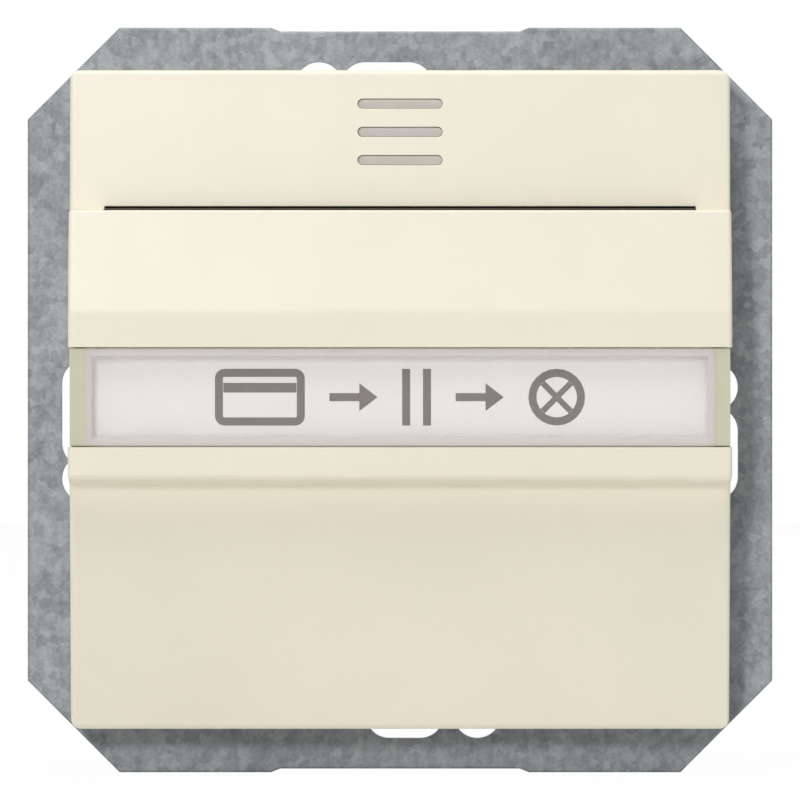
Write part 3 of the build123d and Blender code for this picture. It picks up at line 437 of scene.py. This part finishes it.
node_slots = {
    "mounting_plate": "galvanized_steel", "cover": "ivory_plastic", "light_guide": "milky_plastic",
    "label_window": "clear_plastic", "label_strip": "label_paper", "insert_base": "base_plastic",
    "insert_cover": "bridge_plastic", "bridge_screws": "zinc_plated_steel",
    "card_guide": "guide_plastic", "guide_screws": "zinc_plated_steel", "card_flap": "flap_plastic",
    "flap_pin": "spring_steel", "plunger": "flap_plastic", "plunger_spring": "spring_steel",
    "moving_contact": "terminal_brass", "moving_studs": "contact_silver",
    "contact_pin": "spring_steel", "fixed_studs": "contact_silver",
    "terminal_common": "terminal_brass", "terminal_closed": "terminal_brass",
    "terminal_open": "terminal_brass", "terminal_lamp": "terminal_brass",
    "terminal_springs_top": "spring_steel", "terminal_springs_bottom": "spring_steel",
    "release_key_top": "key_plastic", "release_key_bottom": "key_plastic",
    "claw_left": "galvanized_steel", "claw_right": "galvanized_steel", "claw_pins": "spring_steel",
    "claw_screw_left": "zinc_plated_steel", "claw_screw_right": "zinc_plated_steel",
    "glow_lamp": "lamp_glass", "lamp_holder": "bridge_plastic", "lamp_leads": "tinned_wire",
    "lamp_resistor": "resistor_lacquer",
}
for name, slot in node_slots.items():
    dress(nodes[name], slot)
print("dressed", len(node_slots), "of", len(nodes))

# %% [markdown]
# ## Geometry Nodes
# Threads and coils follow a rule, so a node tree makes them from a few named sizes. The tree
# ends in Realize Instances and Set Material, and its result becomes a plain mesh.

# %% A small builder for Geometry Nodes
class Rule:
    """A Geometry Nodes tree with named inputs for its sizes."""

    def __init__(self, name, sizes):
        self.tree = bpy.data.node_groups.new(name, "GeometryNodeTree")
        self.sizes = sizes
        self.tree.interface.new_socket("Geometry", in_out="INPUT", socket_type="NodeSocketGeometry")
        self.tree.interface.new_socket("Geometry", in_out="OUTPUT", socket_type="NodeSocketGeometry")
        for size in sizes:
            self.tree.interface.new_socket(size, in_out="INPUT", socket_type="NodeSocketFloat")
        self.entry = self.tree.nodes.new("NodeGroupInput")
        self.exit = self.tree.nodes.new("NodeGroupOutput")

    def size(self, name):
        return self.entry.outputs[name]

    def node(self, kind, settings=None, inputs=None, output=0):
        made = self.tree.nodes.new(kind)
        for name, value in (settings or {}).items():
            setattr(made, name, value)
        for name, value in (inputs or {}).items():
            if isinstance(value, bpy.types.NodeSocket):
                self.tree.links.new(value, made.inputs[name])
            else:
                made.inputs[name].default_value = value
        return made.outputs[output]

    def math(self, operation, first, second=0.0, third=0.0):
        return self.node("ShaderNodeMath", {"operation": operation}, {0: first, 1: second, 2: third})

    def make(self, name, geometry, material):
        """Runs the tree once and returns its result as an object with a plain mesh."""
        whole = self.node("GeometryNodeRealizeInstances", {}, {0: geometry})
        painted = self.node("GeometryNodeSetMaterial", {}, {"Geometry": whole, "Material": material})
        self.tree.links.new(painted, self.exit.inputs[0])
        carrier = bpy.data.objects.new(name + "_rule", bpy.data.meshes.new(name + "_rule"))
        scene.collection.objects.link(carrier)
        modifier = carrier.modifiers.new("rule", "NODES")
        modifier.node_group = self.tree
        for socket in self.tree.interface.items_tree:
            if socket.in_out == "INPUT" and socket.name in self.sizes:
                modifier[socket.identifier] = self.sizes[socket.name]
        bpy.context.view_layer.update()
        graph = bpy.context.evaluated_depsgraph_get()
        mesh = bpy.data.meshes.new_from_object(carrier.evaluated_get(graph))
        carrier.modifiers.clear()
        bpy.data.objects.remove(carrier)
        made = bpy.data.objects.new(name, mesh)
        scene.collection.objects.link(made)
        return made


# %% [markdown]
# ## Threads
# A real thread is one ridge that winds round a core. On a fine cylinder grid the radius at
# each point is the core plus a triangle wave of its height less its turn. So one formula
# gives the whole thread, and the ridge fades at the tip.

# %% Threaded shanks
RINGS_PER_TURN = 10
THREAD_SIDES = 40
CORE_SHARE = 0.82
CLAW_SEAT = -1.0 * MM
CLAW_PITCH = 0.6 * MM
SMALL_PITCH = 0.45 * MM
HEAD_HEIGHT = 1.2 * MM
WELD = 0.5e-6
SHANK_START = 1e-5
CUT_DEPTH = 0.02 * MM
SMOOTH_ANGLE = 35.0


def threaded(name, core, crest, length, pitch):
    """A threaded rod from the origin along +Y."""
    sizes = {"core": core, "crest": crest, "length": length, "pitch": pitch}
    rule = Rule(name + "_thread", sizes)
    rings = int(length / pitch * RINGS_PER_TURN)
    tube = rule.node("GeometryNodeMeshCylinder", {"fill_type": "TRIANGLE_FAN"}, {
        "Vertices": THREAD_SIDES, "Side Segments": rings, "Radius": 1.0, "Depth": rule.size("length"),
    })
    point = rule.node("GeometryNodeInputPosition")
    x, y, z = [rule.node("ShaderNodeSeparateXYZ", {}, {0: point}, axis) for axis in ("X", "Y", "Z")]
    turn = rule.math("DIVIDE", rule.math("ARCTAN2", y, x), math.tau)
    along = rule.math("ADD", z, rule.math("DIVIDE", rule.size("length"), 2.0))
    turns = rule.math("DIVIDE", along, rule.size("pitch"))
    phase = rule.math("FRACT", rule.math("SUBTRACT", turns, turn))
    wave = rule.math("ABSOLUTE", rule.math("SUBTRACT", rule.math("MULTIPLY", phase, 2.0), 1.0))
    left = rule.math("SUBTRACT", rule.size("length"), along)
    fade = rule.math("MINIMUM", rule.math("DIVIDE", left, rule.size("pitch")), 1.0)
    height = rule.math("SUBTRACT", rule.size("crest"), rule.size("core"))
    radius = rule.math("MULTIPLY_ADD", rule.math("MULTIPLY", wave, fade), height, rule.size("core"))
    flat = rule.node("ShaderNodeCombineXYZ", {}, {"X": x, "Y": y, "Z": 0.0})
    reach = rule.node("ShaderNodeVectorMath", {"operation": "LENGTH"}, {0: flat}, "Value")
    share = rule.math("MULTIPLY", radius, rule.math("MINIMUM", reach, 1.0))
    unit = rule.node("ShaderNodeVectorMath", {"operation": "NORMALIZE"}, {0: flat})
    ring = rule.node("ShaderNodeVectorMath", {"operation": "SCALE"}, {0: unit, "Scale": share})
    rx, ry = [rule.node("ShaderNodeSeparateXYZ", {}, {0: ring}, axis) for axis in ("X", "Y")]
    back = rule.math("MULTIPLY", ry, -1.0)
    placed = rule.node("ShaderNodeCombineXYZ", {}, {"X": rx, "Y": along, "Z": back})
    wound = rule.node("GeometryNodeSetPosition", {}, {"Geometry": tube, "Position": placed})
    return rule.make(name, wound, metals["zinc_plated_steel"])


def solids_of(node):
    """The separate solids of a CAD node, each as a merged bmesh."""
    whole = bmesh.new()
    whole.from_mesh(nodes[node].data)
    bmesh.ops.remove_doubles(whole, verts=whole.verts, dist=WELD)
    whole.verts.index_update()
    left = set(whole.verts)
    groups = []
    while left:
        start = left.pop()
        group, edge = {start}, [start]
        while edge:
            here = edge.pop()
            for link in here.link_edges:
                there = link.other_vert(here)
                if there not in group:
                    group.add(there)
                    edge.append(there)
        left -= group
        groups.append(group)
    parts = []
    for group in groups:
        part = whole.copy()
        part.verts.ensure_lookup_table()
        index = {vert.index for vert in group}
        others = [vert for vert in part.verts if vert.index not in index]
        bmesh.ops.delete(part, geom=others, context="VERTS")
        parts.append(part)
    whole.free()
    return parts


def screw_piece(name, node, seats, pitch, body):
    """Replaces a CAD screw: its own head with the recess, and a threaded shank under it."""
    joined = bmesh.new()
    for part in solids_of(node):
        low = Vector([min(vert.co[i] for vert in part.verts) for i in range(3)])
        high = Vector([max(vert.co[i] for vert in part.verts) for i in range(3)])
        centre = (low + high) / 2
        shank = [vert for vert in part.verts if vert.co.y > seats + SHANK_START]
        radius = max(math.hypot(vert.co.x - centre.x, vert.co.z - centre.z) for vert in shank)
        cut = bmesh.ops.bisect_plane(
            part, geom=part.verts[:] + part.edges[:] + part.faces[:],
            plane_co=(0, seats + CUT_DEPTH, 0), plane_no=(0, 1, 0), clear_outer=True,
        )
        rim = [edge for edge in cut["geom_cut"] if isinstance(edge, bmesh.types.BMEdge)]
        bmesh.ops.holes_fill(part, edges=rim)
        head = bpy.data.meshes.new("head")
        part.to_mesh(head)
        part.free()
        joined.from_mesh(head)
        bpy.data.meshes.remove(head)
        rod = threaded(name + "_rod", radius * CORE_SHARE, radius, high.y - seats, pitch)
        rod.data.transform(Matrix.Translation((centre.x, seats, centre.z)))
        joined.from_mesh(rod.data)
        bpy.data.objects.remove(rod)
    mesh = bpy.data.meshes.new(name)
    joined.to_mesh(mesh)
    joined.free()
    made = bpy.data.objects.new(name, mesh)
    scene.collection.objects.link(made)
    dress(made, "zinc_plated_steel")
    smooth(made)
    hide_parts(node)
    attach(made, body)
    print(name, "triangles", sum(len(face.vertices) - 2 for face in mesh.polygons))
    return made


def smooth(obj, angle=SMOOTH_ANGLE):
    """Smooth shading that stops at edges sharper than the angle."""
    for face in obj.data.polygons:
        face.use_smooth = True
    shape = bmesh.new()
    shape.from_mesh(obj.data)
    for edge in shape.edges:
        edge.smooth = edge.calc_face_angle(math.pi) < math.radians(angle)
    shape.to_mesh(obj.data)
    shape.free()


# %% Put the threads on the screws
for node in ("claw_screw_left", "claw_screw_right"):
    screw_piece("threaded_" + node, node, CLAW_SEAT, CLAW_PITCH, node)
for node in ("bridge_screws", "guide_screws"):
    low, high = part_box(node)
    screw_piece("threaded_" + node, node, low.y + HEAD_HEIGHT, SMALL_PITCH, "switch_insert")

# %% [markdown]
# ## The plunger spring
# A compression spring has closed ends: the last turn at each end lies flat on its seat. The
# curve starts as a plain spiral with no height. The rule then lifts each point by how far
# along the wire it is, held flat for a share of the wire at both ends.

# %% Coil
SPRING_WIRE = 0.45 * MM
SPRING_TURNS = 5.5
FLAT_SHARE = 0.11


def coil(name, low, high, wire, turns, flat_share):
    sizes = {"radius": (high.x - low.x) / 2 - wire / 2, "length": high.y - low.y - wire, "wire": wire}
    rule = Rule(name + "_coil", sizes)
    line = rule.node("GeometryNodeCurveSpiral", {}, {
        "Resolution": 36, "Rotations": turns, "Start Radius": rule.size("radius"),
        "End Radius": rule.size("radius"), "Height": 0.0,
    })
    along = rule.node("GeometryNodeSplineParameter", {}, {}, "Factor")
    rise = rule.node("ShaderNodeMapRange", {"clamp": True}, {
        "Value": along, "From Min": flat_share, "From Max": 1 - flat_share,
    })
    point = rule.node("GeometryNodeInputPosition")
    x, y = [rule.node("ShaderNodeSeparateXYZ", {}, {0: point}, axis) for axis in ("X", "Y")]
    height = rule.math("MULTIPLY", rise, rule.size("length"))
    placed = rule.node("ShaderNodeCombineXYZ", {}, {"X": x, "Y": height, "Z": y})
    wound = rule.node("GeometryNodeSetPosition", {}, {"Geometry": line, "Position": placed})
    profile = rule.node("GeometryNodeCurvePrimitiveCircle", {}, {
        "Resolution": 14, "Radius": rule.math("DIVIDE", rule.size("wire"), 2.0),
    })
    tube = rule.node("GeometryNodeCurveToMesh", {}, {0: wound, 1: profile, "Fill Caps": True})
    return rule.make(name, tube, metals["spring_steel"])


# %% Put the coil in its well
low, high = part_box("plunger_spring")
centre = (low + high) / 2
spring = coil("closed_plunger_spring", low, high, SPRING_WIRE, SPRING_TURNS, FLAT_SHARE)
spring.data.transform(Matrix.Translation((centre.x, low.y + SPRING_WIRE / 2, centre.z)))
dress(spring, "spring_steel")
smooth(spring)
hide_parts("plunger_spring")
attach(spring, "switch_insert")
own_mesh(spring)

# %% [markdown]
# ## The label
# The card under the window carries a sign without words: a key card, the slot that it goes
# into and the light that it turns on. It is printed in grey, so the print is a skin far
# thinner than the card.

# %% Printed sign
PRINT_THICKNESS = 0.02 * MM
SIGN_LINE = 0.75
SIGN_HEIGHT = 5.3
SIGN_GAP = 2.3
CROSS_LINE = 0.55
CROSS_PLAY = 0.03
CARD_WIDTH = 8.4
CARD_STRIPE = 0.9
STRIPE_INSET = 2.1 * SIGN_LINE
CARD_CORNER = 0.9
CORNER_STEPS = 6
ARROW_SHAFT = 2.8
ARROW_HEAD = 2.6
ARROW_POINT = 1.7
SLOT_GAP = 1.2
ARROW_WIDTH = ARROW_SHAFT + ARROW_POINT
SLOT_WIDTH = SLOT_GAP + 2 * SIGN_LINE
SIGN_WIDTH = CARD_WIDTH + 2 * ARROW_WIDTH + SLOT_WIDTH + SIGN_HEIGHT + 4 * SIGN_GAP


def printed(name, outlines, front):
    """Flat shapes from closed outlines in x and z, in millimetres, as one thin mesh."""
    shape = bmesh.new()
    for outline in outlines:
        verts = [shape.verts.new((x * MM, front, z * MM)) for x, z in outline]
        face = shape.faces.new(verts)
        face.normal_update()
        if face.normal.y > 0:
            face.normal_flip()
    faces = list(shape.faces)
    raised = bmesh.ops.extrude_face_region(shape, geom=faces)
    moved = [item for item in raised["geom"] if isinstance(item, bmesh.types.BMVert)]
    bmesh.ops.translate(shape, verts=moved, vec=(0, -PRINT_THICKNESS, 0))
    bmesh.ops.delete(shape, geom=faces, context="FACES_ONLY")
    bmesh.ops.recalc_face_normals(shape, faces=shape.faces)
    mesh = bpy.data.meshes.new(name)
    shape.to_mesh(mesh)
    shape.free()
    made = bpy.data.objects.new(name, mesh)
    scene.collection.objects.link(made)
    return made


def ring(width, height, corner, line, centre):
    """The outline of a rounded frame, as quads between its outer and inner edge."""
    def rim(inset):
        points = []
        radius = corner - inset
        for quarter in range(4):
            sx, sz = ((1, 1), (-1, 1), (-1, -1), (1, -1))[quarter]
            for step in range(CORNER_STEPS + 1):
                angle = math.pi / 2 * (quarter + step / CORNER_STEPS)
                x = sx * (width / 2 - corner) + radius * math.cos(angle)
                z = sz * (height / 2 - corner) + radius * math.sin(angle)
                points.append((centre[0] + x, centre[1] + z))
        return points
    outer, inner = rim(0.0), rim(line)
    count = len(outer)
    return [
        [outer[i], outer[(i + 1) % count], inner[(i + 1) % count], inner[i]] for i in range(count)
    ]


def bar(centre, width, height, angle=0.0):
    """The four corners of a bar, turned by the angle in degrees."""
    turn = math.radians(angle)
    corners = []
    for sx, sz in ((-1, -1), (1, -1), (1, 1), (-1, 1)):
        x, z = sx * width / 2, sz * height / 2
        corners.append((
            centre[0] + x * math.cos(turn) - z * math.sin(turn),
            centre[1] + x * math.sin(turn) + z * math.cos(turn),
        ))
    return corners


def arrow(tail, middle):
    """A shaft and a head that points to the right."""
    neck = tail + ARROW_SHAFT
    shaft = bar((tail + ARROW_SHAFT / 2, middle), ARROW_SHAFT, SIGN_LINE)
    reach = ARROW_HEAD / 2
    return [shaft, [(neck, middle - reach), (neck + ARROW_POINT, middle), (neck, middle + reach)]]


def lamp_sign(centre, width):
    """The usual lamp symbol, a circle with a diagonal cross."""
    inside = width / 2 - SIGN_LINE
    outlines = ring(width, width, width / 2, SIGN_LINE, centre)
    outlines.append(bar(centre, 2 * (inside - CROSS_PLAY), CROSS_LINE, 45.0))
    arm = inside - CROSS_PLAY - CROSS_LINE / 2
    for side in (-1, 1):
        shift = side * (CROSS_LINE / 2 + arm / 2) * math.sqrt(0.5)
        outlines.append(bar((centre[0] - shift, centre[1] + shift), arm, CROSS_LINE, 135.0))
    return outlines


# %% Draw the sign from left to right
low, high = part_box("label_strip")
middle = (low.z + high.z) / 2 / MM
left = -SIGN_WIDTH / 2
card = left + CARD_WIDTH / 2
outlines = ring(CARD_WIDTH, SIGN_HEIGHT, CARD_CORNER, SIGN_LINE, (card, middle))
outlines.append(bar((card, middle + SIGN_HEIGHT / 6), CARD_WIDTH - STRIPE_INSET, CARD_STRIPE))
left += CARD_WIDTH + SIGN_GAP
outlines += arrow(left, middle)
left += ARROW_WIDTH + SIGN_GAP
for step in (0, SLOT_GAP + SIGN_LINE):
    outlines.append(bar((left + step + SIGN_LINE / 2, middle), SIGN_LINE, SIGN_HEIGHT))
left += SLOT_WIDTH + SIGN_GAP
outlines += arrow(left, middle)
left += ARROW_WIDTH + SIGN_GAP
outlines += lamp_sign((left + SIGN_HEIGHT / 2, middle), SIGN_HEIGHT)
print("sign reaches from", -SIGN_WIDTH / 2, "to", round(left + SIGN_HEIGHT, 2), "mm")

# %% Print it in grey ink
ink = Finish("grey_ink")
speck = ink.noise(0.2 * MM, 3.0)
grey = ink.mix(speck, linear(124, 119, 119), linear(140, 135, 135))
ink_shader = ink.surface(Base_Color=grey, Roughness=0.6 + 0.1 * speck)
sign = printed("label_sign", outlines, low.y)
sign.data.materials.append(ink.finish(ink_shader))
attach(sign, "cover")
print("sign faces", len(sign.data.polygons))

# %% [markdown]
# ## Inside the lamp
# A glow lamp holds two straight wire electrodes side by side. They are short rods with round
# ends, seen through the bulb.

# %% Electrodes
ELECTRODE_RADIUS = 0.3 * MM
ELECTRODE_GAP = 0.6 * MM
ELECTRODE_LENGTH = 1.1
ELECTRODE_PLACE = 0.4
ELECTRODE_ROUND = 0.3


def electrodes(name, radius, gap):
    low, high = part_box("glow_lamp")
    centre = (low + high) / 2
    shape = bmesh.new()
    for side in (-1, 1):
        reach = (high.x - low.x) / 2
        rod = bmesh.ops.create_cone(
            shape, cap_ends=True, segments=20, radius1=radius, radius2=radius,
            depth=reach * ELECTRODE_LENGTH,
        )
        turn = Matrix.Rotation(math.pi / 2, 4, "Y")
        place = Matrix.Translation(centre + Vector((side * reach * ELECTRODE_PLACE, 0, side * gap)))
        bmesh.ops.transform(shape, matrix=place @ turn, verts=rod["verts"])
    bmesh.ops.bevel(shape, geom=shape.edges[:], offset=radius * ELECTRODE_ROUND, segments=2, affect="EDGES")
    mesh = bpy.data.meshes.new(name)
    shape.to_mesh(mesh)
    shape.free()
    made = bpy.data.objects.new(name, mesh)
    scene.collection.objects.link(made)
    dress(made, "tinned_wire")
    smooth(made)
    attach(made, "switch_insert")
    return made


electrodes("lamp_electrodes", ELECTRODE_RADIUS, ELECTRODE_GAP)

# %% [markdown]
# ## Light and floor
# Two soft lamps make the light of the photograph. A key lamp in front, a little to the left,
# throws the narrow shadow beside the cover. A long lamp above makes the nose throw a soft
# shadow down. A third lamp lights the back, for views from behind. The bright white around the
# object is seen only by the camera, in reflections and through clear pieces, so it adds no
# diffuse light to the object.

# %% Studio lamps
def lamp(name, place, width, height, power):
    """A soft oval lamp that looks at the middle of the plate."""
    data = bpy.data.lights.new(name, "AREA")
    data.shape = "ELLIPSE"
    data.size = width
    data.size_y = height
    data.energy = power
    made = bpy.data.objects.new(name, data)
    scene.collection.objects.link(made)
    made.location = place
    made.rotation_euler = (-Vector(place)).to_track_quat("-Z", "Y").to_euler()
    return made


LAMPS = (
    ("key_light", (-0.20, -0.93, 0.26), 0.10, 0.16, 3.0),
    ("top_light", (-0.05, -0.25, 0.85), 0.12, 0.80, 4.8),
    ("back_light", (0.3, 0.9, 0.6), 0.8, 0.8, 4.0),
)
for row in LAMPS:
    lamp(*row)
print("lamps", [row[0] for row in LAMPS])

# %% White surroundings
SOFT_STRENGTH = 0.15

world = bpy.data.worlds.new("studio")
scene.world = world
world.use_nodes = True
world_nodes = world.node_tree.nodes
world_nodes.clear()


def world_node(kind, inputs=None):
    made = world_nodes.new(kind)
    for name, value in (inputs or {}).items():
        if isinstance(value, bpy.types.NodeSocket):
            world.node_tree.links.new(value, made.inputs[name])
        else:
            made.inputs[name].default_value = value
    return made


path = world_node("ShaderNodeLightPath")
first = world_node("ShaderNodeMath", {0: path.outputs["Is Camera Ray"], 1: path.outputs["Is Glossy Ray"]})
seen = world_node("ShaderNodeMath", {0: first.outputs[0], 1: path.outputs["Is Transmission Ray"]})
seen.use_clamp = True
soft = world_node("ShaderNodeBackground", {"Color": (1.0, 0.99, 0.98, 1.0), "Strength": SOFT_STRENGTH})
white = world_node("ShaderNodeBackground", {"Color": (1.0, 1.0, 1.0, 1.0), "Strength": 1.0})
blend = world_node("ShaderNodeMixShader", {0: seen.outputs[0], 1: soft.outputs[0], 2: white.outputs[0]})
world_node("ShaderNodeOutputWorld", {"Surface": blend.outputs[0]})

# %% Floor
FLOOR_HALF = 1.2
FLOOR_GLOW = 0.97
FLOOR_GAP = 0.01 * MM

floor_mesh = bpy.data.meshes.new("floor")
floor_level = cad_low.z - FLOOR_GAP
corners = [
    (sx * FLOOR_HALF, sy * FLOOR_HALF, floor_level) for sx, sy in ((-1, -1), (1, -1), (1, 1), (-1, 1))
]
floor_mesh.from_pydata(corners, [], [(0, 1, 2, 3)])
floor = bpy.data.objects.new("floor", floor_mesh)
scene.collection.objects.link(floor)
pale = Finish("pale_floor")
camera_ray, glossy_ray, through_ray = [
    pale.node("ShaderNodeLightPath", output="Is " + kind + " Ray")
    for kind in ("Camera", "Glossy", "Transmission")
]
shown = (camera_ray + glossy_ray + through_ray).least(1.0)
matt = pale.surface(Base_Color=(0.86, 0.86, 0.86), Roughness=0.8)
glow = pale.node("ShaderNodeEmission", {}, {"Color": (1.0, 1.0, 1.0), "Strength": 1.0})
seen_floor = pale.node("ShaderNodeMixShader", {}, {0: FLOOR_GLOW * shown, 1: matt, 2: glow})
floor_mesh.materials.append(pale.finish(seen_floor))

# %% Print the CAD box
print("cad box in mm", [[round(v / MM, 2) for v in corner] for corner in (cad_low, cad_high)])
